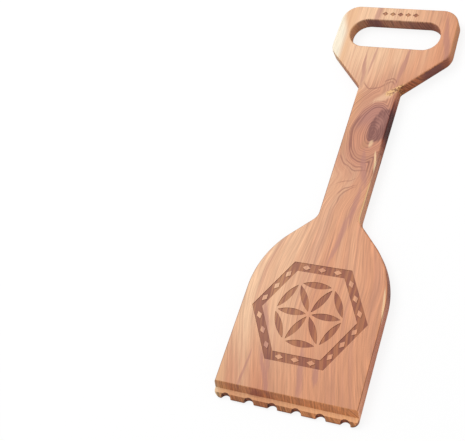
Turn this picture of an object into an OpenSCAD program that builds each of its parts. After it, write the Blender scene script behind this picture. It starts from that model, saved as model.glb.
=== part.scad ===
// Grill scraper: one piece of cedar board, sawn to a paddle outline, with a hand slot in its head,
// a stepped and notched blade end, and ornaments burnt shallowly into its front face.
// The board lies on its back. +Y points to the head and +Z out of the front face.

/* [Board] */
// Length from the tooth tips to the top of the head
board_len = 430; // [390:1:480]
// Thickness of the board
board_thick = 13.5; // [12:0.5:18]
// Radius of the eased edges, front and back
edge_ease = 1.8; // [0.6:0.1:2.4]

/* [Blade] */
// Width of the blade at the tooth tips
blade_end_w = 137; // [120:1:160]
// Width of the blade where the sides meet the shoulder slopes
shoulder_w = 133; // [115:1:155]
// Distance from the tooth tips to the shoulders
shoulder_y = 141; // [115:1:165]
// Radius of the rounded shoulders
shoulder_r = 84; // [20:1:95]
// Slope of the shoulders, in degrees from a line across the board
shoulder_slope = 45; // [38:1:52]
// Radius of the corners beside the outer teeth
blade_corner_r = 4; // [3:0.5:8]

/* [Neck] */
// Width of the neck, which is the handle
neck_w = 41; // [34:1:50]
// Radius of the inner corners where the neck meets the blade
neck_low_r = 12; // [4:1:30]
// Radius of the inner corners where the neck meets the head
neck_top_r = 4; // [3:1:30]

/* [Head] */
// Width of the head at its lower corners
head_w = 124; // [112:1:140]
// Width of the head at its top
head_top_w = 121; // [108:1:136]
// Height of the head's sides, from the lower corners to the top
head_side_h = 55; // [48:1:62]
// Slope of the head's lower edges, in degrees from a line across the board
head_slope = 45; // [38:1:52]
// Radius of the head's lower corners
head_low_r = 16.5; // [8:0.5:20]
// Radius of the head's top corners
head_top_r = 18; // [8:0.5:22]

/* [Hand slot] */
// Length of the hand slot, across the head
slot_len = 93; // [80:1:100]
// Height of the hand slot
slot_h = 32; // [26:1:36]
// Wood left above the slot
top_bar = 16.5; // [14:0.5:24]

/* [Blade end] */
// Run of the steep front bevel, along the board
bevel_run = 4.1; // [2:0.1:8]
// Thickness of the lip at the foot of the bevel
lip_root_thick = 6; // [5:0.1:8]
// Length of the lip, from the bevel to the tooth ends
lip_len = 4.2; // [3:0.1:8]
// Thickness of the lip at the tooth ends
lip_end_thick = 5.5; // [4:0.1:7]
// How far the tooth ends lean back from their tips
tooth_lean = 3.7; // [1:0.1:5]
// Thickness of the blunt tooth tips
tip_thick = 2.2; // [1:0.1:2.8]

/* [Notches] */
// Number of half-round notches for the grate bars, spread evenly over the blade's width
notch_count = 6; // [3:1:6]
// Radius of the notches
notch_r = 5.2; // [3:0.1:6]
// Depth of the notches at the back face
notch_depth = 3.6; // [2:0.1:4.5]
// Lean of the notches, in degrees from square to the board
notch_lean = 22; // [0:1:30]

/* [Ornaments] */
// Depth of the burnt ornaments
burn_depth = 0.4; // [0.2:0.1:1]
// Distance from the tooth tips to the middle of the blade's ornament
badge_y = 89; // [80:1:95]
// Size of the hexagon frame, across its corners
badge_size = 112; // [84:1:116]
// Width of the hexagon frame's band
badge_band = 10; // [6:0.5:12]
// Lozenges left standing along each side of the frame
frame_lozenges = 3; // [1:1:4]
// Length of a lozenge in the frame
frame_lozenge_len = 8; // [4:0.5:9]
// Radius of the six-petalled rosette
rosette_r = 33; // [20:1:34]
// Wood left between neighbouring petals
petal_gap = 2.4; // [1:0.2:4]
// Length of the row of lozenges on the head, across the board
head_row_len = 40; // [24:1:60]
// Number of lozenges in that row
head_row_count = 5; // [3:2:9]
// Height of that row's lozenges
head_row_h = 5; // [3:0.5:8]

/* [Hidden] */
wood = [0.80, 0.55, 0.41];
chord_error = 0.04;
ease_steps = 4;
slack = 1;
$fn = 96;

neck_low_y = shoulder_y + (shoulder_w - neck_w) / 2 * tan(shoulder_slope);
head_low_y = board_len - head_side_h;
neck_top_y = head_low_y - (head_w - neck_w) / 2 * tan(head_slope);
slot_y = board_len - top_bar - slot_h / 2;
lip_end_y = tooth_lean;
lip_root_y = lip_end_y + lip_len;
crease_y = lip_root_y + bevel_run;
notch_pitch = blade_end_w / notch_count;

// Corners of the right half of the outline, from the teeth to the top: x, y and corner radius
right_half = [
    [blade_end_w / 2, 0, blade_corner_r],
    [shoulder_w / 2, shoulder_y, shoulder_r],
    [neck_w / 2, neck_low_y, neck_low_r],
    [neck_w / 2, neck_top_y, neck_top_r],
    [head_w / 2, head_low_y, head_low_r],
    [head_top_w / 2, board_len, head_top_r]
];
last = len(right_half) - 1;
corners = concat(right_half, [for (i = [last:-1:0]) [-right_half[i].x, right_half[i].y, right_half[i].z]]);

function flat(p) = [p.x, p.y];
function left_of(d) = [-d.y, d.x];
function turned(v, a) = [v.x * cos(a) - v.y * sin(a), v.x * sin(a) + v.y * cos(a)];

// Points of one rounded corner of the outline, with the whole outline drawn in by inset
function corner_arc(before, corner, after, inset) =
    let (
        in_dir = flat(corner - before) / norm(flat(corner - before)),
        out_dir = flat(after - corner) / norm(flat(after - corner)),
        normal = left_of(in_dir),
        turn = asin(cross(in_dir, out_dir)),
        side = sign(turn),
        miter = (normal + left_of(out_dir)) / (1 + in_dir * out_dir),
        centre = flat(corner) + miter * corner.z * side,
        steps = ceil(abs(turn) / (2 * acos(1 - chord_error / corner.z)))
    )
    [for (i = [0:steps]) centre - turned(normal, turn * i / steps) * (corner.z * side - inset)];

function board_ring(inset) =
    let (n = len(corners))
    [for (i = [0:n - 1]) each corner_arc(corners[(i + n - 1) % n], corners[i], corners[(i + 1) % n], inset)];

// Eased front edge as pairs of inset and height, from step 0 at the wall to the last step at the face
function ease_point(step) =
    let (a = 90 * step / ease_steps)
    [edge_ease * (1 - cos(a)), board_thick - edge_ease * (1 - sin(a))];

ease_beyond_face = 2 * ease_point(ease_steps) - ease_point(ease_steps - 1);

// Waste along the front edge, swept round the whole outline
module edge_waste() {
    section = concat(
        [ease_beyond_face],
        [for (step = [ease_steps - 1:-1:0]) ease_point(step)],
        [[-slack, ease_point(0).y], [-slack, ease_beyond_face.y]]
    );
    rings = [for (s = section) board_ring(s.x)];
    rows = len(section);
    n = len(rings[0]);
    points = [for (k = [0:rows - 1], p = rings[k]) [p.x, p.y, section[k].y]];
    faces = [for (k = [0:rows - 1], i = [0:n - 1])
        let (a = k * n, b = (k + 1) % rows * n, j = (i + 1) % n)
        each [[a + i, b + i, b + j], [a + i, b + j, a + j]]];
    polyhedron(points = points, faces = faces, convexity = 8);
}

// Copy of the front edge's waste for the back edge
module to_back() {
    translate([0, 0, board_thick])
        mirror([0, 0, 1])
            children();
}

// Paddle-shaped board with eased edges all round
module board() {
    difference() {
        linear_extrude(board_thick)
            polygon(board_ring(0));
        edge_waste();
        to_back() edge_waste();
    }
}

// Half of the hand slot's section: a straight wall that flares at both faces, so that the rims are eased
module slot_section() {
    front = concat([for (step = [0:ease_steps - 1]) ease_point(step)], [ease_beyond_face]);
    back = [for (i = [ease_steps:-1:0]) [front[i].x, board_thick - front[i].y]];
    walls = [for (p = concat(back, front)) [slot_h / 2 + p.x, p.y]];
    polygon(concat([[0, back[0].y]], walls, [[0, ease_beyond_face.y]]));
}

// Waste of the hand slot: two round ends and the straight run between them
module slot_waste() {
    reach = (slot_len - slot_h) / 2;
    translate([0, slot_y, 0]) {
        for (end = [-1, 1])
            translate([end * reach, 0, 0])
                rotate_extrude()
                    slot_section();
        rotate([90, 0, 90])
            linear_extrude(2 * reach, center = true) {
                slot_section();
                mirror([1, 0]) slot_section();
            }
    }
}

// Waste in front of the blade end: over the blunt tips, the leaning tooth ends, the lip and the bevel
module blade_end_waste() {
    bevel_beyond = slack * bevel_run / (board_thick - lip_root_thick);
    rotate([90, 0, 90])
        linear_extrude(blade_end_w + 2 * slack, center = true)
            polygon([
                [-slack, tip_thick],
                [0, tip_thick],
                [lip_end_y, lip_end_thick],
                [lip_root_y, lip_root_thick],
                [crease_y + bevel_beyond, board_thick + slack],
                [-slack, board_thick + slack]
            ]);
}

// Half-round notches for the bars of a grate, leaning with the tooth ends
module notches() {
    axis_y = notch_depth - notch_r / cos(notch_lean);
    for (i = [0:notch_count - 1])
        translate([(i - (notch_count - 1) / 2) * notch_pitch, axis_y, 0])
            rotate([-notch_lean, 0, 0])
                cylinder(r = notch_r, h = 2 * board_thick, center = true);
}

module lozenge(length, height) {
    polygon([[-length / 2, 0], [0, -height / 2], [length / 2, 0], [0, height / 2]]);
}

// Band of a hexagon, with a row of lozenges left standing along each side
module hexagon_frame() {
    band_mid = (badge_size - badge_band) / 2 * cos(30);
    lozenge_step = (badge_size / 2 - badge_band) / frame_lozenges;
    difference() {
        circle(d = badge_size, $fn = 6);
        circle(d = badge_size - 2 * badge_band, $fn = 6);
        for (side = [0:5], i = [0:frame_lozenges - 1])
            rotate(60 * side + 30)
                translate([band_mid, (i - (frame_lozenges - 1) / 2) * lozenge_step])
                    rotate(90)
                        lozenge(frame_lozenge_len, badge_band / 2);
    }
}

// Leaf where two equal circles overlap, with their middles on both sides of it at the given distance
module leaf(distance) {
    intersection_for (side = [-1, 1])
        translate([0, side * distance])
            circle(r = rosette_r - petal_gap / 2);
}

// Six petals round a middle point, and six leaves that join their tips
module rosette() {
    for (petal = [0:5])
        rotate(60 * petal) {
            translate([rosette_r / 2, 0])
                leaf(rosette_r * sin(60));
            rotate(30)
                translate([rosette_r * sin(60), 0])
                    rotate(90)
                        leaf(rosette_r * sin(60));
        }
}

// Row of lozenges on the bar above the hand slot
module head_row() {
    step = head_row_len / head_row_count;
    for (i = [0:head_row_count - 1])
        translate([(i - (head_row_count - 1) / 2) * step, 0])
            lozenge(step * 0.8, head_row_h);
}

module ornaments() {
    translate([0, badge_y]) {
        hexagon_frame();
        rosette();
    }
    translate([0, board_len - top_bar / 2])
        head_row();
}

module scraper() {
    color(wood)
        translate([0, -board_len / 2, 0])
            difference() {
                board();
                slot_waste();
                blade_end_waste();
                notches();
                translate([0, 0, board_thick - burn_depth])
                    linear_extrude(burn_depth + slack)
                        ornaments();
            }
}

scraper();
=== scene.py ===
import math

import bpy
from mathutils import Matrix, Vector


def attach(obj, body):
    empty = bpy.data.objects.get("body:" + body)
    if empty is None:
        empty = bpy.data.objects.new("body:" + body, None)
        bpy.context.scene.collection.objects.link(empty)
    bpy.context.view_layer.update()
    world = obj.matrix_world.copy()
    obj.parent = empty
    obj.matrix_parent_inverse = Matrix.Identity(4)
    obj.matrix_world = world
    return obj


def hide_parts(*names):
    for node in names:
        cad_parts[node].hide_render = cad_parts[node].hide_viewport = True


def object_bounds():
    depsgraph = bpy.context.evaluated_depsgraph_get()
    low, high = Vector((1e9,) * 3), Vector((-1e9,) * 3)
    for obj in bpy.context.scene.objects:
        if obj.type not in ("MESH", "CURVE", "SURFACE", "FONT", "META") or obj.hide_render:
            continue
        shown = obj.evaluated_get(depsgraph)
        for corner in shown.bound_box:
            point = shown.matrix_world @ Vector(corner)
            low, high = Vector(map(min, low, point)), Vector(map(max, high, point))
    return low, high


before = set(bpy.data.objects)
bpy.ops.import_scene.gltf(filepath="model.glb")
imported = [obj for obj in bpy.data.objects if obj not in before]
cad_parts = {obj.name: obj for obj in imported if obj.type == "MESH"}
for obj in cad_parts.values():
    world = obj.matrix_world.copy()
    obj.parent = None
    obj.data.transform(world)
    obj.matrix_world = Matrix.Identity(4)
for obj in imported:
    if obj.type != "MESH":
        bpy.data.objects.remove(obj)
cad_low, cad_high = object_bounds()

# The photograph's view. The camera stands high above the blade end, on its right, so that the front
# face, the right side and the tooth ends show. Its place was solved from the outline in the picture.
camera_lens, film_width = 84.1, 36
camera_place, camera_turns = (0.3425, -0.4328, 0.8790), (29.15, 18.96, 18.83)

camera_data = bpy.data.cameras.new("photograph_view")
camera_data.sensor_width = film_width
camera_data.lens = camera_lens
camera = bpy.data.objects.new("photograph_view", camera_data)
camera.location = camera_place
camera.rotation_euler = [math.radians(turn) for turn in camera_turns]
bpy.context.scene.collection.objects.link(camera)
bpy.context.scene.camera = camera
bpy.context.scene.view_settings.view_transform = "Standard"

# The table under the scraper: a plain white sheet that fades into the white room and takes only a
# faint shadow. To the eye it is mostly white by itself; to the wood it is a pale surface.
table_size, table_own_white, table_pale = 12.0, 0.85, 0.8
white = (1, 1, 1, 1)


def place(tree, kind, inputs=None, settings=None, out=0):
    """Adds a node, sets its choices, fills or joins its inputs, and returns one of its outputs."""
    node = tree.nodes.new(kind)
    for name, choice in (settings or {}).items():
        setattr(node, name, choice)
    for name, value in (inputs or {}).items():
        if isinstance(value, bpy.types.NodeSocket):
            tree.links.new(value, node.inputs[name])
        else:
            node.inputs[name].default_value = value
    return node.outputs[out] if node.outputs else node


def link_in(obj):
    bpy.context.scene.collection.objects.link(obj)
    return obj


half_table = table_size / 2
table_mesh = bpy.data.meshes.new("table")
table_mesh.from_pydata(
    [(x * half_table, y * half_table, 0) for x, y in ((-1, -1), (1, -1), (1, 1), (-1, 1))],
    [], [(0, 1, 2, 3)])
table = link_in(bpy.data.objects.new("table", table_mesh))
table_paint = bpy.data.materials.new("white_table")
table_paint.use_nodes = True
tree = table_paint.node_tree
tree.nodes.clear()
own_white = place(tree, "ShaderNodeEmission", {"Color": white, "Strength": table_own_white})
shaded_white = place(tree, "ShaderNodeBsdfDiffuse", {"Color": (1 - table_own_white,) * 3 + (1,)})
seen = place(tree, "ShaderNodeAddShader", {0: own_white, 1: shaded_white})
lit = place(tree, "ShaderNodeBsdfDiffuse", {"Color": (table_pale,) * 3 + (1,)})
direct = place(tree, "ShaderNodeLightPath", out="Is Camera Ray")
table_look = place(tree, "ShaderNodeMixShader", {0: direct, 1: lit, 2: seen})
place(tree, "ShaderNodeOutputMaterial", {"Surface": table_look})
table_mesh.materials.append(table_paint)

# Soft light: a bright, even room, and one broad lamp above the head of the scraper on its left. The
# camera sees the room as plain white.
room_strength, backdrop_strength = 0.64, 1.0
lamp_power, lamp_width, lamp_place = 24, 1.2, (-1.0, 0.75, 1.7)

world = bpy.data.worlds.new("room")
bpy.context.scene.world = world
world.use_nodes = True
tree = world.node_tree
tree.nodes.clear()
room = place(tree, "ShaderNodeBackground", {"Color": white, "Strength": room_strength})
backdrop = place(tree, "ShaderNodeBackground", {"Color": white, "Strength": backdrop_strength})
direct = place(tree, "ShaderNodeLightPath", out="Is Camera Ray")
room_look = place(tree, "ShaderNodeMixShader", {0: direct, 1: room, 2: backdrop})
place(tree, "ShaderNodeOutputWorld", {"Surface": room_look})
lamp_data = bpy.data.lights.new("soft_box", "AREA")
lamp_data.size = lamp_width
lamp_data.energy = lamp_power
lamp = link_in(bpy.data.objects.new("soft_box", lamp_data))
lamp.location = lamp_place
lamp.rotation_euler = (-lamp.location).to_track_quat("-Z", "Y").to_euler()

# The board: one piece of red cedar, sawn to a paddle outline and rounded over all round its edges and
# in its hand slot. The outline's corners are drawn sharp and then rounded to their own radii.
mm = 0.001
board_length = (cad_high.y - cad_low.y) / mm
board_thick = (cad_high.z - cad_low.z) / mm
edge_ease, face_rim = 1.8, 0.6
blade_end_width, shoulder_width, shoulder_height, shoulder_slope = 137, 133, 141, 45
neck_width, head_width, head_top_width, head_side, head_slope = 41, 124, 121, 55, 45
blade_corner, shoulder_round, neck_low_round = 6, 84, 12
neck_top_round, head_low_round, head_top_round = 4, 16.5, 18
slot_length, slot_height, top_bar, slot_end_share = 93, 32, 16.5, 0.999


def drawn(name, loops, closed=True):
    """A flat drawing in millimetres: each loop is a list of corners, as x, y and corner radius."""
    curve = bpy.data.curves.new(name, "CURVE")
    for corners in loops:
        spline = curve.splines.new("POLY")
        spline.points.add(len(corners) - 1)
        for corner, (x, y, radius) in zip(spline.points, corners):
            corner.co = (x * mm, y * mm, 0, 1)
            corner.radius = radius * mm
        spline.use_cyclic_u = closed
    return link_in(bpy.data.objects.new(name, curve))


teeth_y = -board_length / 2
top_y = board_length / 2
shoulder_y = teeth_y + shoulder_height
head_low_y = top_y - head_side
neck_low_y = shoulder_y + (shoulder_width - neck_width) / 2 * math.tan(math.radians(shoulder_slope))
neck_top_y = head_low_y - (head_width - neck_width) / 2 * math.tan(math.radians(head_slope))
right_side = [
    (blade_end_width / 2, teeth_y, blade_corner), (shoulder_width / 2, shoulder_y, shoulder_round),
    (neck_width / 2, neck_low_y, neck_low_round), (neck_width / 2, neck_top_y, neck_top_round),
    (head_width / 2, head_low_y, head_low_round), (head_top_width / 2, top_y, head_top_round)]
left_side = [(-x, y, radius) for x, y, radius in reversed(right_side)]
slot_high_y = top_y - top_bar
slot_low_y = slot_high_y - slot_height
slot_end_x, slot_round = slot_length / 2, slot_end_share * slot_height / 2
slot = [(x, y, slot_round) for x, y in (
    (-slot_end_x, slot_high_y), (slot_end_x, slot_high_y),
    (slot_end_x, slot_low_y), (-slot_end_x, slot_low_y))]
outline = drawn("outline", [right_side + left_side, slot])
rim = -edge_ease - face_rim
edge_section = drawn("edge_section", [[
    (rim, board_thick / 2, 0), (0, board_thick / 2, edge_ease),
    (0, -board_thick / 2, edge_ease), (rim, -board_thick / 2, 0)]], closed=False)

tree = bpy.data.node_groups.new("paddle_board", "GeometryNodeTree")
tree.is_modifier = True
tree.interface.new_socket("Geometry", in_out="OUTPUT", socket_type="NodeSocketGeometry")
tree.interface.new_socket("Geometry", in_out="INPUT", socket_type="NodeSocketGeometry")
given = tree.nodes.new("NodeGroupInput")
board_values = {}


def asked(name, value, kind="Float"):
    """A named input of the tree, and the value that the modifier gives it."""
    socket = tree.interface.new_socket(name, in_out="INPUT", socket_type="NodeSocket" + kind)
    board_values[socket.identifier] = value
    return given.outputs[name]


def rounded(curve, steps):
    """Each corner of a drawing turned into an arc of its own radius."""
    return place(tree, "GeometryNodeFilletCurve", {
        "Curve": curve, "Count": steps, "Radius": place(tree, "GeometryNodeInputRadius")}, {"mode": "POLY"})


def shape_of(source):
    return place(tree, "GeometryNodeObjectInfo", {"Object": source}, out="Geometry")


def joined(*parts):
    node = tree.nodes.new("GeometryNodeJoinGeometry")
    for part in reversed(parts):
        tree.links.new(part, node.inputs[0])
    return node.outputs[0]


def vector(x=0.0, y=0.0, z=0.0):
    return place(tree, "ShaderNodeCombineXYZ", {0: x, 1: y, 2: z})


def calc(operation, *values):
    return place(tree, "ShaderNodeMath", dict(enumerate(values)), {"operation": operation})


thickness = asked("Thickness", board_thick * mm)
mid_height = calc("MULTIPLY", thickness, 0.5)
corner_steps = asked("Corner steps", 24, "Int")
edge_steps = asked("Edge steps", 10, "Int")
loops = rounded(given.outputs["Geometry"], corner_steps)
loops = place(tree, "GeometryNodeSetCurveNormal", {"Curve": loops}, {"mode": "Z_UP"})
section = rounded(shape_of(asked("Edge section", edge_section, "Object")), edge_steps)
walls = place(tree, "GeometryNodeCurveToMesh", {"Curve": loops, "Profile Curve": section})
walls = place(tree, "GeometryNodeFlipFaces", {0: walls})
walls = place(tree, "GeometryNodeSetPosition", {"Geometry": walls, "Offset": vector(z=mid_height)})
height = place(tree, "ShaderNodeSeparateXYZ", {0: place(tree, "GeometryNodeInputPosition")}, out="Z")
open_edge = place(tree, "FunctionNodeCompare", {
    2: place(tree, "GeometryNodeInputMeshEdgeNeighbors"), 3: 1}, {"data_type": "INT", "operation": "EQUAL"})


def rim_of(side):
    """The open edges of the walls at the front, above mid height, or at the back, below it."""
    on_side = place(tree, "FunctionNodeCompare", {0: height, 1: mid_height}, {"operation": side})
    both = place(tree, "FunctionNodeBooleanMath", {0: open_edge, 1: on_side}, {"operation": "AND"})
    return place(tree, "GeometryNodeMeshToCurve", {"Mesh": walls, "Selection": both})


# The burnt ornaments: a hexagon band with lozenges left standing in it, round a six-petalled rosette,
# and a short row of lozenges above the hand slot. They lie a hair below the front face.
burn_depth = 0.4
badge_middle, badge_size, badge_band = teeth_y + 89, 112, 10
frame_lozenges, frame_lozenge_length = 3, 8
rosette_radius, petal_gap, leaf_steps = 33, 2.4, 48
head_row_length, head_row_count, head_row_height, head_row_fill = 40, 5, 5, 0.8

petal_round = rosette_radius - petal_gap / 2
petal_shift = rosette_radius * math.sin(math.radians(60))
petal_reach = math.sqrt(petal_round ** 2 - petal_shift ** 2)
leaf_points = []
for step in range(leaf_steps):
    around = math.radians(360 * step / leaf_steps)
    x = petal_reach * math.cos(around)
    y = math.copysign(math.sqrt(petal_round ** 2 - x ** 2) - petal_shift, math.sin(around))
    leaf_points.append((x, y, 0))
leaf = drawn("leaf", [leaf_points])


def on_points(points, shape, **turn):
    instances = place(tree, "GeometryNodeInstanceOnPoints", {"Points": points, "Instance": shape, **turn})
    return place(tree, "GeometryNodeRealizeInstances", {0: instances})


def moved(shape, offset=(0, 0, 0), degrees=0.0, scale=(1, 1, 1)):
    return place(tree, "GeometryNodeTransform", {
        "Geometry": shape, "Translation": offset, "Rotation": (0, 0, math.radians(degrees)), "Scale": scale})


def ring_of(shape, radius, first_angle=0.0):
    """Six of a shape round a middle, each turned with its place."""
    places = place(tree, "GeometryNodeMeshCircle", {"Vertices": 6, "Radius": radius})
    turn = vector(z=calc("MULTIPLY", place(tree, "GeometryNodeInputIndex"), math.radians(60)))
    return moved(on_points(places, shape, Rotation=turn), degrees=first_angle)


def row_of(shape, count, step, along):
    start = [-step * (count - 1) / 2 * a for a in along]
    places = place(tree, "GeometryNodeMeshLine", {
        "Count": count, "Start Location": start, "Offset": [step * a for a in along]})
    return on_points(places, shape)


def polygon_loop(corners, radius):
    return place(tree, "GeometryNodeCurvePrimitiveCircle", {"Resolution": corners, "Radius": radius})


petal = shape_of(asked("Petal", leaf, "Object"))
petals = ring_of(petal, rosette_radius / 2 * mm)
garland = ring_of(moved(petal, degrees=90), petal_shift * mm, 30)
outer = polygon_loop(6, badge_size / 2 * mm)
inner = polygon_loop(6, (badge_size / 2 - badge_band) * mm)
lozenge = polygon_loop(4, 0.5)
frame_lozenge = moved(lozenge, scale=(badge_band / 2 * mm, frame_lozenge_length * mm, 1))
frame_step = (badge_size / 2 - badge_band) / frame_lozenges
side_row = row_of(frame_lozenge, frame_lozenges, frame_step * mm, (0, 1, 0))
band_middle = (badge_size - badge_band) / 2 * math.cos(math.radians(30))
frame_rows = ring_of(side_row, band_middle * mm, 30)
badge = moved(joined(outer, inner, frame_rows, petals, garland), (0, badge_middle * mm, 0))
head_step = head_row_length / head_row_count
head_lozenge = moved(lozenge, scale=(head_step * head_row_fill * mm, head_row_height * mm, 1))
head_row = row_of(head_lozenge, head_row_count, head_step * mm, (1, 0, 0))
ornaments = joined(badge, moved(head_row, (0, (top_y - top_bar / 2) * mm, 0)))
lifted = vector(z=thickness)


def filled(curves, offset=None):
    face = place(tree, "GeometryNodeFillCurve", {"Curve": curves})
    return place(tree, "GeometryNodeSetPosition", {"Geometry": face, "Offset": offset}) if offset else face


front = filled(joined(rim_of("GREATER_THAN"), ornaments), lifted)
back = place(tree, "GeometryNodeFlipFaces", {0: filled(rim_of("LESS_THAN"))})
burnt = place(tree, "GeometryNodeExtrudeMesh", {
    "Mesh": filled(ornaments, lifted), "Offset": vector(z=-1.0),
    "Offset Scale": asked("Burn depth", burn_depth * mm), "Individual": False})
burnt = place(tree, "GeometryNodeStoreNamedAttribute", {
    "Geometry": burnt, "Name": "burnt", "Value": 1.0}, {"domain": "FACE"})
blank = place(tree, "GeometryNodeMergeByDistance", {
    "Geometry": joined(walls, front, back, burnt), "Distance": 2e-6})

# The blade end: a steep front bevel down to a short thin lip, tooth ends that lean back from blunt
# tips, and half-round notches that fit the bars of a grate, leaning with the tooth ends. The arris
# above the bevel is rolled over a little, as sanding leaves it.
bevel_run, lip_root_thick, lip_length, lip_end_thick, tooth_lean, tip_thick = 4.1, 6, 4.2, 5.5, 3.7, 2.2
notch_count, notch_radius, notch_depth, notch_lean, notch_sides = 6, 5.2, 3.6, 11, 64
crease_round, crease_back, lip_round, bend_steps = 1.8, 0.2, 0.5, 5
roll_slope, roll_rise, saw_slack = 8, 0.12, 2

lip_end_y = teeth_y + tooth_lean
lip_root_y = lip_end_y + lip_length
crease_y = lip_root_y + bevel_run
roll_end_y = crease_y + 2 * roll_rise / math.tan(math.radians(roll_slope))
waste_y, waste_top = teeth_y - saw_slack, board_thick + saw_slack
blade_end = drawn("blade_end", [[
    (waste_y, tip_thick, 0), (teeth_y, tip_thick, lip_round),
    (lip_end_y, lip_end_thick, lip_round), (lip_root_y, lip_root_thick, lip_round),
    (crease_y - crease_back, board_thick - roll_rise, crease_round), (roll_end_y, board_thick + roll_rise, 0),
    (roll_end_y, waste_top, 0), (waste_y, waste_top, 0)]])
saw_reach = (blade_end_width / 2 + saw_slack) * mm
end_section = rounded(shape_of(asked("Blade end", blade_end, "Object")), bend_steps)
saw_line = place(tree, "GeometryNodeCurvePrimitiveLine", {
    "Start": (0, 0, -saw_reach), "End": (0, 0, saw_reach)})
end_waste = place(tree, "GeometryNodeCurveToMesh", {
    "Curve": saw_line, "Profile Curve": end_section, "Fill Caps": True})
end_waste = place(tree, "GeometryNodeTransform", {
    "Geometry": end_waste, "Rotation": (math.radians(90), 0, math.radians(90))})

notch_pitch = blade_end_width / notch_count
notch_axis = teeth_y + notch_depth - notch_radius / math.cos(math.radians(notch_lean))
first_notch = -notch_pitch * (notch_count - 1) / 2
bit = place(tree, "GeometryNodeMeshCylinder", {
    "Vertices": notch_sides, "Radius": asked("Notch radius", notch_radius * mm),
    "Depth": calc("MULTIPLY", thickness, 3)})
bit = place(tree, "GeometryNodeTransform", {"Geometry": bit, "Rotation": (math.radians(-notch_lean), 0, 0)})
notch_places = place(tree, "GeometryNodeMeshLine", {
    "Count": asked("Notches", notch_count, "Int"),
    "Start Location": (first_notch * mm, notch_axis * mm, 0), "Offset": (notch_pitch * mm, 0, 0)})
notch_waste = on_points(notch_places, bit)
saw = tree.nodes.new("GeometryNodeMeshBoolean")
saw.operation, saw.solver = "DIFFERENCE", "EXACT"
tree.links.new(blank, saw.inputs["Mesh 1"])
tree.links.new(notch_waste, saw.inputs["Mesh 2"])
tree.links.new(end_waste, saw.inputs["Mesh 2"])

# The finished board, as one closed mesh with smooth curves and crisp arrises. The drawings that it
# was cut from are cleared away.
crisp_angle = 25

cedar = bpy.data.materials.new("red_cedar")
cedar.use_nodes = True
finished = place(tree, "GeometryNodeSetShadeSmooth", {"Geometry": saw.outputs["Mesh"], "Shade Smooth": True})
finished = place(tree, "GeometryNodeSetMaterial", {
    "Geometry": place(tree, "GeometryNodeRealizeInstances", {0: finished}), "Material": cedar})
tree.links.new(finished, tree.nodes.new("NodeGroupOutput").inputs["Geometry"])

shaping = outline.modifiers.new("shaping", "NODES")
shaping.node_group = tree
for identifier, value in board_values.items():
    shaping[identifier] = value
depsgraph = bpy.context.evaluated_depsgraph_get()
board_mesh = bpy.data.meshes.new_from_object(outline.evaluated_get(depsgraph), depsgraph=depsgraph)
board_mesh.name = "scraper_board"
board = link_in(bpy.data.objects.new("scraper_board", board_mesh))
for drawing in (outline, edge_section, leaf, blade_end):
    bpy.data.objects.remove(drawing)
board_mesh.set_sharp_from_angle(angle=math.radians(crisp_angle))

# The wood's look: red cedar, sanded and lightly oiled. Its growth rings run round the heart of the log,
# which lies beside the board's right edge, so they show as long streaks on the face and as fine upright
# lines on the cut ends. Branch knots in the neck push the rings aside. Places are in millimetres.
tree = cedar.node_tree
tree.nodes.clear()


def triple(operation, first, second, out=0):
    return place(tree, "ShaderNodeVectorMath", {0: first, 1: second}, {"operation": operation}, out)


def noise(spot, size, detail=2.0, shift=0.0, out=0):
    """Cloudy noise about 0.5. The size is a cloud's length along each axis; a shift gives other clouds."""
    clouds = triple("DIVIDE", triple("SUBTRACT", spot, (shift, shift, shift)), size)
    return place(tree, "ShaderNodeTexNoise", {"Vector": clouds, "Scale": 1.0, "Detail": detail}, out=out)


def ramp(value, low, high, to_low=0.0, to_high=1.0):
    """Goes smoothly from to_low to to_high while the value goes from low to high."""
    return place(tree, "ShaderNodeMapRange", {
        0: value, 1: low, 2: high, 3: to_low, 4: to_high}, {"interpolation_type": "SMOOTHSTEP"})


def swing(value, reach):
    """Noise made to swing about nought, by half of the reach to each side."""
    return calc("MULTIPLY", calc("SUBTRACT", value, 0.5), reach)


def total(first, *others):
    for other in others:
        first = calc("ADD", first, other)
    return first


def overlap(first, *others):
    """Masks, or a mask and its strength, multiplied: what lies in all of them."""
    for other in others:
        first = calc("MULTIPLY", first, other)
    return first


def either(first, *others):
    """What lies in any of the masks."""
    for other in others:
        first = calc("MAXIMUM", first, other)
    return first


def rest_of(mask):
    return calc("SUBTRACT", 1.0, mask)


def between(value, start, full, full_end, end):
    """A mask that fades in from start to full, and out from full_end to end."""
    return overlap(ramp(value, start, full), ramp(value, end, full_end))


def tint(amount, under, over, kind="MIX"):
    """One colour laid over another, as far as the amount says."""
    return place(tree, "ShaderNodeMix", {0: amount, 6: under, 7: over}, {
        "data_type": "RGBA", "blend_type": kind}, out=2)


def toned(amount, colour, tone):
    """A colour multiplied by a tone, as far as the amount says."""
    return tint(amount, colour, tint(1.0, colour, tone, "MULTIPLY"))


def grey(value):
    return place(tree, "ShaderNodeCombineColor", {0: value, 1: value, 2: value})


def mark(x, y, half_width, half_length, lean_to=0.0, ragged=0.0):
    """Distance from the middle of a long mark in the wood, leaning, which is 1 at its edge."""
    further = calc("SUBTRACT", bent_along, y)
    aside = calc("SUBTRACT", calc("SUBTRACT", bent_across, x), calc("MULTIPLY", further, lean_to))
    away = vector(calc("DIVIDE", aside, half_width), calc("DIVIDE", further, half_length))
    distance = triple("LENGTH", away, (0, 0, 0), "Value")
    return calc("ADD", distance, swing(ragged_edge, ragged)) if ragged else distance


def patch(where, strength, inner, outer, ragged=0.0):
    """A mask over a mark: its full strength up to the inner distance, fading out to the outer one."""
    return ramp(mark(*where, ragged=ragged), inner, outer, strength, 0.0)


def line_at(distance, radius, half_line, fade, strength):
    """A thin line that runs at one distance round a middle."""
    return ramp(calc("ABSOLUTE", calc("SUBTRACT", distance, radius)), half_line, fade, strength, 0.0)


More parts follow.
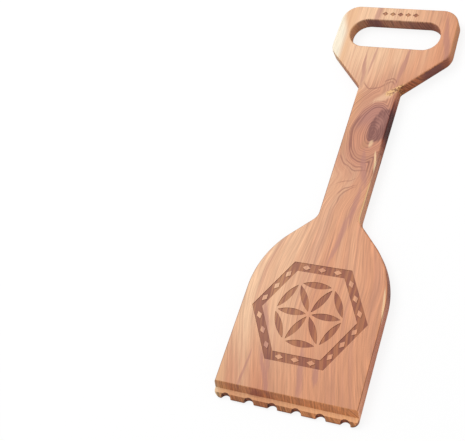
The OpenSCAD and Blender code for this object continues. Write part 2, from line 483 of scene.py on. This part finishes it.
wobble_size, wobble_reach = (13, 26, 20), (5.0, 8.0, 0.0)
object_place = place(tree, "ShaderNodeTexCoord", out="Object")
point = place(tree, "ShaderNodeVectorMath", {0: object_place, "Scale": 1 / mm}, {"operation": "SCALE"})
across, along, up = place(tree, "ShaderNodeSeparateXYZ", {0: point}).node.outputs
facing = place(tree, "ShaderNodeTexCoord", out="Normal")
to_right, to_head, to_front = place(tree, "ShaderNodeSeparateXYZ", {0: facing}).node.outputs
flatness = calc("ABSOLUTE", to_front)
cut_end = ramp(calc("ABSOLUTE", to_head), 0.25, 0.60)
wobble = triple("SUBTRACT", noise(point, wobble_size, 1.0, out="Color"), (0.5, 0.5, 0.5))
bent = triple("ADD", point, triple("MULTIPLY", wobble, wobble_reach))
bent_across, bent_along, _ = place(tree, "ShaderNodeSeparateXYZ", {0: bent}).node.outputs
ragged_edge = noise(point, (1.6, 14, 3), 3.0, 51)

# Growth rings: the distance from the heart. They fan out below the neck, and run in ovals round the
# branches: one large swirl in the neck, and the tail of another where the head begins.
heart_x, heart_z = 99, 45
neck_branch, head_branch = (8, 67, 1.0, 1.6), (10, 124, 1.0, 2.0)


def round_branch(rings, swirl, first_ring, spacing, widening, blend):
    """The rings turned into ovals near a branch. The ovals lie further apart away from it."""
    ovals = calc("MULTIPLY_ADD", swirl, calc("MULTIPLY_ADD", swirl, widening, spacing), first_ring)
    return calc("SMOOTH_MIN", rings, ovals, blend)


fan = ramp(along, -95.0, -15.0, 1.0, 1.35)
neck_lean = ramp(along, -22.0, 24.0, 20.0, 0.0)
low_lean = ramp(along, -250.0, -110.0, -28.0, 0.0)
beside_heart = calc("SUBTRACT", total(calc("MULTIPLY", across, fan), neck_lean, low_lean), heart_x)
under_heart = calc("SUBTRACT", up, heart_z)
trunk = calc("SQRT", total(calc("POWER", beside_heart, 2.0), calc("POWER", under_heart, 2.0)))
long_wander = swing(noise(point, (60, 190, 60), 1.0), 9.0)
short_wander = swing(noise(point, (16, 150, 16), shift=31), 1.8)
neck_swirl, head_swirl = mark(*neck_branch), mark(*head_branch)
rings = total(trunk, total(long_wander, short_wander))
rings = round_branch(rings, neck_swirl, first_ring=54.0, spacing=1.2, widening=0.015, blend=4.0)
rings = round_branch(rings, head_swirl, first_ring=92.0, spacing=1.4, widening=0.04, blend=5.0)
swirled = either(ramp(neck_swirl, 20.0, 44.0, 1.0, 0.0), ramp(head_swirl, 4.0, 14.0, 0.7, 0.0))
flow = vector(rings, along, up)

# Streaks along the rings: broad ones shift the tan, and narrower ones turn it to rose. Nearer the heart
# the wood is deeper in colour, and the colour also deepens towards the blade end and on the blade's lower
# left.
# The neck is redder, with an orange glow on its left.
pale_tan, deep_tan = (0.86, 0.54, 0.33, 1), (0.70, 0.31, 0.162, 1)
rose, plum, dark_line = (0.55, 0.24, 0.155, 1), (0.20, 0.065, 0.052, 1), (0.28, 0.095, 0.065, 1)
glow, neck_tone, low_left_tone = (0.80, 0.40, 0.17, 1), (0.85, 0.72, 0.69, 1), (0.89, 0.79, 0.76, 1)

broad = noise(flow, (16, 230, 60), 2.0, 7)
age = total(rings, low_lean, calc("MULTIPLY", along, 0.10), swing(broad, 120.0))
colour = tint(ramp(age, 40.0, 160.0, 1.0, 0.0), pale_tan, deep_tan)
streak = noise(flow, (3.8, 150, 60), 3.0, 17)
colour = tint(ramp(streak, 0.50, 0.68, 0.0, 0.42), colour, rose)
colour = toned(between(along, -50.0, 70.0, 104.0, 165.0), colour, neck_tone)
neck_left = overlap(between(along, 30, 60, 104.0, 118.0), ramp(across, -9, -18, 0, 0.5))
colour = tint(neck_left, colour, glow)
low_left = overlap(ramp(along, -140, -195), ramp(across, 10, -25))
colour = toned(low_left, colour, low_left_tone)
colour = tint(overlap(swirled, 0.40), colour, rose)

# Fine grain: narrow streaks and fibres lighten and darken the wood. They are calmer in the bowed patch
# under the swirl, at both ends of the board and on the bevel, where short, straight fibres fill in.
bowed_patch = (-6, 14, 20, 28)
own_shade, narrow_swing, fibre_swing, short_swing = 0.96, 0.50, 0.85, 0.65

narrow = noise(flow, (1.8, 80, 60), 2.0, 5)
fibre = noise(flow, (0.85, 22, 1.2), 2.0)
short_fibre = noise(point, (0.9, 16, 3), 2.0, 61)
bevel = overlap(cut_end, between(along, teeth_y + 6.5, teeth_y + 7.5, teeth_y + 12, teeth_y + 14))
grain = ramp(mark(*bowed_patch), 0.6, 1.2, 0.25, 1.0)
grain = overlap(grain, rest_of(overlap(bevel, ramp(across, 52, 64, 0.8, 0.1))))
calmer_ends = calc("MINIMUM", ramp(along, -50, -130, 1.0, 0.75), ramp(along, 110, 140, 1.0, 0.65))
grain = overlap(grain, calmer_ends)
shade = overlap(grain, total(swing(narrow, narrow_swing), swing(fibre, fibre_swing)))
shade = total(shade, own_shade, overlap(swing(short_fibre, short_swing), rest_of(grain)))
colour = tint(1.0, colour, grey(shade), "MULTIPLY")

# Late wood: a thin dark line at the end of each year's ring, clear only where the rings bend.
ring_width, line_everywhere, line_in_swirls = 3.1, 0.16, 0.80

uneven = swing(noise(flow, (7, 90, 60), 1.0, 40), 6.0)
season = calc("FRACT", calc("DIVIDE", total(rings, uneven), ring_width))
late_wood = overlap(ramp(season, 0.30, 0.82), ramp(season, 0.84, 1.0, 1.0, 0.0))
broken = ramp(noise(flow, (3.4, 160, 160), 1.0, 23), 0.36, 0.62, 0.2, 1.0)
line_strength = overlap(broken, total(overlap(swirled, line_in_swirls), line_everywhere), grain)
late_wood = overlap(late_wood, line_strength)
colour = tint(late_wood, colour, dark_line)

# Mauve mineral streaks, each with its middle, half width, half length and lean. The swirl's upper side
# is mauve too, with plum rings, and a dark ring closes it on its left.
mauve = (0.43, 0.18, 0.145, 1)
mauve_streaks = (
    (-24.5, -188, 2.0, 17, -0.45), (-44, -187, 0.9, 17, 0.04), (-34, -150, 2.6, 26, -0.35),
    (9, -183, 2.6, 18, -0.20), (22, -180, 1.8, 8, -0.20), (7.5, -48, 2.0, 26, 0.11),
    (12.5, -12, 1.8, 15, 0.0), (10, 27, 2.2, 15, -0.25), (54, 178, 1.9, 23, -0.20),
    (-23, 207, 2.2, 10, 0.1), (18.5, 148, 1.5, 22, 0.10), (-20.5, 142, 1.2, 15, -0.1),
    (-14, 150, 0.9, 16, 0.1))
left_ring_radius, left_ring_spot = 19.6, (-11, 66, 5, 21)

for streak_place in mauve_streaks:
    colour = tint(patch(streak_place, 0.6, 0.7, 1.8, ragged=1.6), colour, mauve)
upper_swirl = overlap(ramp(neck_swirl, 16.0, 24.0, 0.70, 0.0), ramp(bent_along, 62.0, 84.0))
colour = tint(upper_swirl, colour, mauve)
colour = tint(overlap(upper_swirl, ramp(late_wood, 0.1, 0.7)), colour, plum)
left_ring = line_at(neck_swirl, left_ring_radius, 0.4, 1.4, 0.8)
colour = tint(overlap(left_ring, patch(left_ring_spot, 1.0, 0.7, 1.2)), colour, dark_line)

# Bowed lines below the neck's swirl and round the small one above it: the middle and radius of each
# bow, then the middle and half size of the spot where it shows. A dark dash crosses the lower bows.
bows = (
    (7, 50, 26, (-1, 33, 21, 13)), (7, 50, 15.7, (-1, 38, 9, 8)), (7, 50, 22, (0, 33, 12, 8)),
    (15, -13, 21.8, (0, -3, 10, 16)), (14, -15, 25.5, (0, 2, 10, 12)),
    (-5, 127, 11.8, (-5, 120, 14, 10)), (11.5, 124, 6.4, (11, 129, 7, 5)), (11.5, 124, 3.4, (11, 127, 5, 5)))
dark_dash = (-4, 12.3, 1.2, 7.0, 2.1)

for x, y, radius, shows in bows:
    bow = line_at(mark(x, y, 1, 1), radius, 0.3, 1.0, 0.55)
    colour = tint(overlap(bow, patch(shows, 1.0, 0.7, 1.1)), colour, dark_line)
colour = tint(patch(dark_dash, 0.6, 0.4, 1.0), colour, dark_line)

# The knot's dark core at the neck's right edge, crossed by its rings; beside it the pale eye, and above
# it a golden, flecked callus.
knot_core, knot_light, knot_brown = (14.5, 75.5, 11.5, 20.5, 0.2), (12.5, 79, 4, 7), (0.40, 0.17, 0.13, 1)
eye, eye_shade = (9.8, 54.2, 2.2, 3.6), (3, 54, 3.2, 5)
gold, eye_brown = (0.88, 0.60, 0.34, 1), (0.50, 0.22, 0.11, 1)
callus, callus_root = (17.2, 117.5, 4.8, 7, 0.9), (9, 109, 5, 9, 1.0)
fleck_brown, fleck_gold = (0.26, 0.10, 0.045, 1), (0.82, 0.48, 0.20, 1)

core_lines = total(overlap(rest_of(late_wood), 0.60), swing(total(narrow, ragged_edge), 1.7), -1.25)
core_lines = total(core_lines, patch(knot_light, 0.60, 0.5, 1.5))
core_colour = tint(core_lines, plum, knot_brown)
colour = tint(patch(knot_core, 0.95, 0.86, 1.12, ragged=0.25), colour, core_colour)
colour = tint(patch(eye_shade, 0.6, 0.5, 1.3, ragged=0.8), colour, eye_brown)
colour = tint(patch(eye, 0.6, 0.4, 1.4, ragged=0.8), colour, gold)
colour = tint(patch(callus_root, 0.6, 0.5, 1.4, ragged=0.8), colour, pale_tan)
flecks = ramp(noise(point, (1.9, 2.4, 2.0), 2.0, 3), 0.43, 0.57)
callus_colour = tint(flecks, fleck_brown, fleck_gold)
colour = tint(patch(callus, 0.9, 0.7, 1.2, ragged=0.9), colour, callus_colour)

# Sapwood: cream along the head's left edge, with an orange border. Two pale slivers lie on the face
# beside the right edges of the blade and of the neck.
cream, border = (0.90, 0.80, 0.63, 1), (0.74, 0.42, 0.22, 1)
slivers = ((65.8, -111, 0.9, 25, -0.16), (18.0, 36, 0.9, 10, -0.17))

colour = tint(ramp(rings, 157.0, 167.0, 0.0, 0.6), colour, border)
for sliver in slivers:
    on_face = overlap(patch(sliver, 0.75, 0.7, 1.2, ragged=0.6), ramp(to_front, 0.1, 0.4))
    colour = tint(on_face, colour, gold)
sap = ramp(calc("SUBTRACT", rings, ramp(along, 178.0, 208.0, 0.0, 9.0)), 166.0, 176.0)
colour = tint(overlap(sap, 0.95), colour, tint(1.0, cream, grey(shade), "MULTIPLY"))

# Sawn edges and cut ends: the open pores drink the oil, so they are browner and deeper than the face.
# The pores follow the rings, but on the bevel, short of its right end, they are fine and upright.
sawn_tone, cut_tone = (0.86, 0.68, 0.64, 1), (0.70, 0.57, 0.42, 1)

colour = toned(ramp(flatness, 0.15, 0.75, 1.0, 0.0), colour, sawn_tone)
ring_pores = swing(noise(flow, (1.5, 40, 20), 2.0, 71), 2.4)
ring_pores = overlap(ring_pores, rest_of(overlap(bevel, ramp(across, 52, 64, 1.0, 0.1))))
bevel_pores = swing(noise(point, (1.4, 30, 30), 2.0, 71), ramp(across, 52, 64, 1.9, 0.3))
bevel_pores = overlap(total(bevel_pores, 0.10), bevel)
colour = toned(cut_end, colour, cut_tone)
colour = toned(cut_end, colour, grey(total(ring_pores, bevel_pores, 1.02)))

# The neck's right edge: dark on the wall and the rim beside the knot. Below the knot the rim next to the
# face gets a painted golden highlight and is dark under it, over a wall made paler and greyer by a painted
# reflection of the white table.
knot_wall_tone, knot_rim_tone = (0.56, 0.44, 0.40, 1), (0.72, 0.52, 0.52, 1)
highlight_gold, neck_reflection_tone = (0.80, 0.42, 0.19, 1), (1.25, 1.58, 1.74, 1)

knot_wall = overlap(between(along, 36, 68, 86, 108), ramp(to_right, 0.3, 0.7))
colour = toned(knot_wall, colour, knot_wall_tone)
right_rim = overlap(ramp(to_right, 0.1, 0.3), ramp(along, -32, -24))
# Painted highlight: the golden strip on the rim below the knot.
painted_highlight_rim = overlap(right_rim, ramp(to_front, 0.35, 0.50), ramp(along, 20, 8))
colour = tint(overlap(painted_highlight_rim, 0.75), colour, highlight_gold)
dark_rim = overlap(right_rim, between(to_front, 0.02, 0.15, 0.35, 0.50), ramp(along, 60, 50))
colour = tint(overlap(dark_rim, 0.6), colour, dark_line)
# Painted reflection of the white table: the lower neck wall made paler and greyer.
neck_wall_reflection = overlap(ramp(to_right, 0.3, 0.8), between(along, -40, -25, 40, 55))
colour = toned(neck_wall_reflection, colour, neck_reflection_tone)
knot_rim = overlap(ramp(to_right, 0.15, 0.5), between(along, 52, 62, 100, 112))
colour = toned(knot_rim, colour, knot_rim_tone)

# The head's right edge is orange brown. The blade's right edge has a rim lightened by painted light, a thin
# dark line under it and a wall made pale by a painted reflection of the white table, palest near the teeth.
head_wall_brown, rim_tone, line_tone = (0.60, 0.27, 0.105, 1), (1.22, 1.20, 1.16, 1), (0.58, 0.47, 0.46, 1)
wall_tone, low_wall_tone = (1.12, 1.22, 1.45, 1), (1.38, 1.68, 1.90, 1)

head_wall = overlap(ramp(to_right, 0.2, 0.6), ramp(along, 158, 168))
colour = tint(overlap(head_wall, 0.55), colour, head_wall_brown)
on_blade = ramp(along, -60, -90)
# Painted reflection of the white table on the blade's right wall, strongest near the teeth.
right_wall_reflection = overlap(ramp(to_right, 0.75, 0.9), on_blade)
colour = toned(right_wall_reflection, colour, tint(ramp(along, -165, -195), wall_tone, low_wall_tone))
right_line = overlap(between(to_right, 0.45, 0.65, 0.75, 0.9), on_blade)
colour = toned(right_line, colour, line_tone)
# Painted light on the blade's right rim, where the lamp leaves it in shade.
painted_light_rim = overlap(between(to_right, 0.1, 0.3, 0.4, 0.6), on_blade)
colour = toned(painted_light_rim, colour, rim_tone)

# Plum stains on the walls: on the head's slope, at two places in the hand slot and on the blade's right
# edge. The slot's upper wall is darker and cooler: painted shade.
head_stain, slot_left_stain, slot_right_stain = (48, 145, 16, 14), (-26, 197, 8, 8), (22, 197, 16, 8)
blade_stain, slot_shade_tone = (66, -85, 10, 20), (0.78, 0.84, 1.10, 1)

stains = either(
    patch(head_stain, 0.9, 0.5, 1.2), patch(slot_left_stain, 0.7, 0.6, 1.3),
    patch(slot_right_stain, 0.35, 0.6, 1.3), patch(blade_stain, 0.75, 0.2, 1.3, ragged=0.8))
colour = tint(overlap(stains, ramp(flatness, 0.7, 0.3)), colour, plum)
# Painted shade on the slot's upper wall, which faces down under the top bar.
slot_upper_wall_shade = overlap(ramp(to_head, -0.25, -0.6), ramp(along, 188, 194))
colour = toned(slot_upper_wall_shade, colour, slot_shade_tone)

# The blade end: cleaner to the right, with a dark red spot on its left. The notches are darkened by scorch
# and painted shade, and the tips by painted shade. The lip is planed smooth.
red_spot, spot_red, clean_tone = (-29, -205.5, 7, 2.6), (0.24, 0.055, 0.045, 1), (1.35, 1.50, 1.45, 1)
scorch_and_shade_tone, lip_brown, lip_tone = (0.45, 0.36, 0.32, 1), (0.60, 0.28, 0.145, 1), (1.12, 1.15, 1.04, 1)

from_front = ramp(to_front, -0.3, 0.2)
colour = tint(overlap(from_front, patch(red_spot, 0.6, 0.5, 1.3, ragged=0.8)), colour, spot_red)
clean_end = overlap(from_front, ramp(along, teeth_y + 13, teeth_y + 11), ramp(across, -20, 60))
colour = toned(clean_end, colour, clean_tone)
# Scorch and painted shade in the notches, painted shade along the tips.
in_notches = overlap(ramp(along, teeth_y + 6, teeth_y + 7.5, 1.0, 0.0), ramp(flatness, 0.45, 0.88, 1.0, 0.0))
shaded_tips = ramp(along, teeth_y + 0.3, teeth_y + 1.3, 0.7, 0.0)
colour = toned(either(in_notches, shaded_tips), colour, scorch_and_shade_tone)
planed = overlap(ramp(along, teeth_y + 7.2, teeth_y + 8.2, 1.0, 0.0), ramp(to_front, 0.85, 0.97))
colour = tint(overlap(planed, 0.5), colour, lip_brown)
colour = toned(planed, colour, lip_tone)

# The left edges of the blade and of the neck: the eased rim shows as a thin line in a deeper tone.
left_rim_tone = (0.50, 0.42, 0.40, 1)
left_rim = overlap(ramp(to_right, -0.1, -0.7), ramp(along, 110, 95))
colour = toned(left_rim, colour, left_rim_tone)

# Burnt ornaments: a thin scorch that lets the streaks show through.
deep_char, light_char = (0.43, 0.275, 0.26, 1), (0.62, 0.475, 0.36, 1)
charred = place(tree, "ShaderNodeAttribute", settings={"attribute_name": "burnt"}, out="Fac")
char_tone = tint(ramp(noise(flow, (3.0, 90, 60), 2.0, 9), 0.45, 0.57), deep_char, light_char)
colour = toned(charred, colour, char_tone)

# The surface: dull with a slight sheen. Fibres and late wood stand up by a hair.
least_rough, fibre_rough, sheen = 0.40, 0.16, 0.3
relief_strength, relief_height, fibre_relief, ring_relief = 0.35, 0.12, 0.6, 0.4
rough = total(overlap(fibre, fibre_rough), least_rough)
relief = total(overlap(fibre, fibre_relief), overlap(late_wood, ring_relief))
bump = place(tree, "ShaderNodeBump", {
    "Strength": relief_strength, "Distance": relief_height * mm, "Height": relief})
surface = place(tree, "ShaderNodeBsdfPrincipled", {
    "Base Color": colour, "Roughness": rough, "Specular IOR Level": sheen, "Normal": bump})
place(tree, "ShaderNodeOutputMaterial", {"Surface": surface})

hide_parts("scraper")
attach(board, "root")
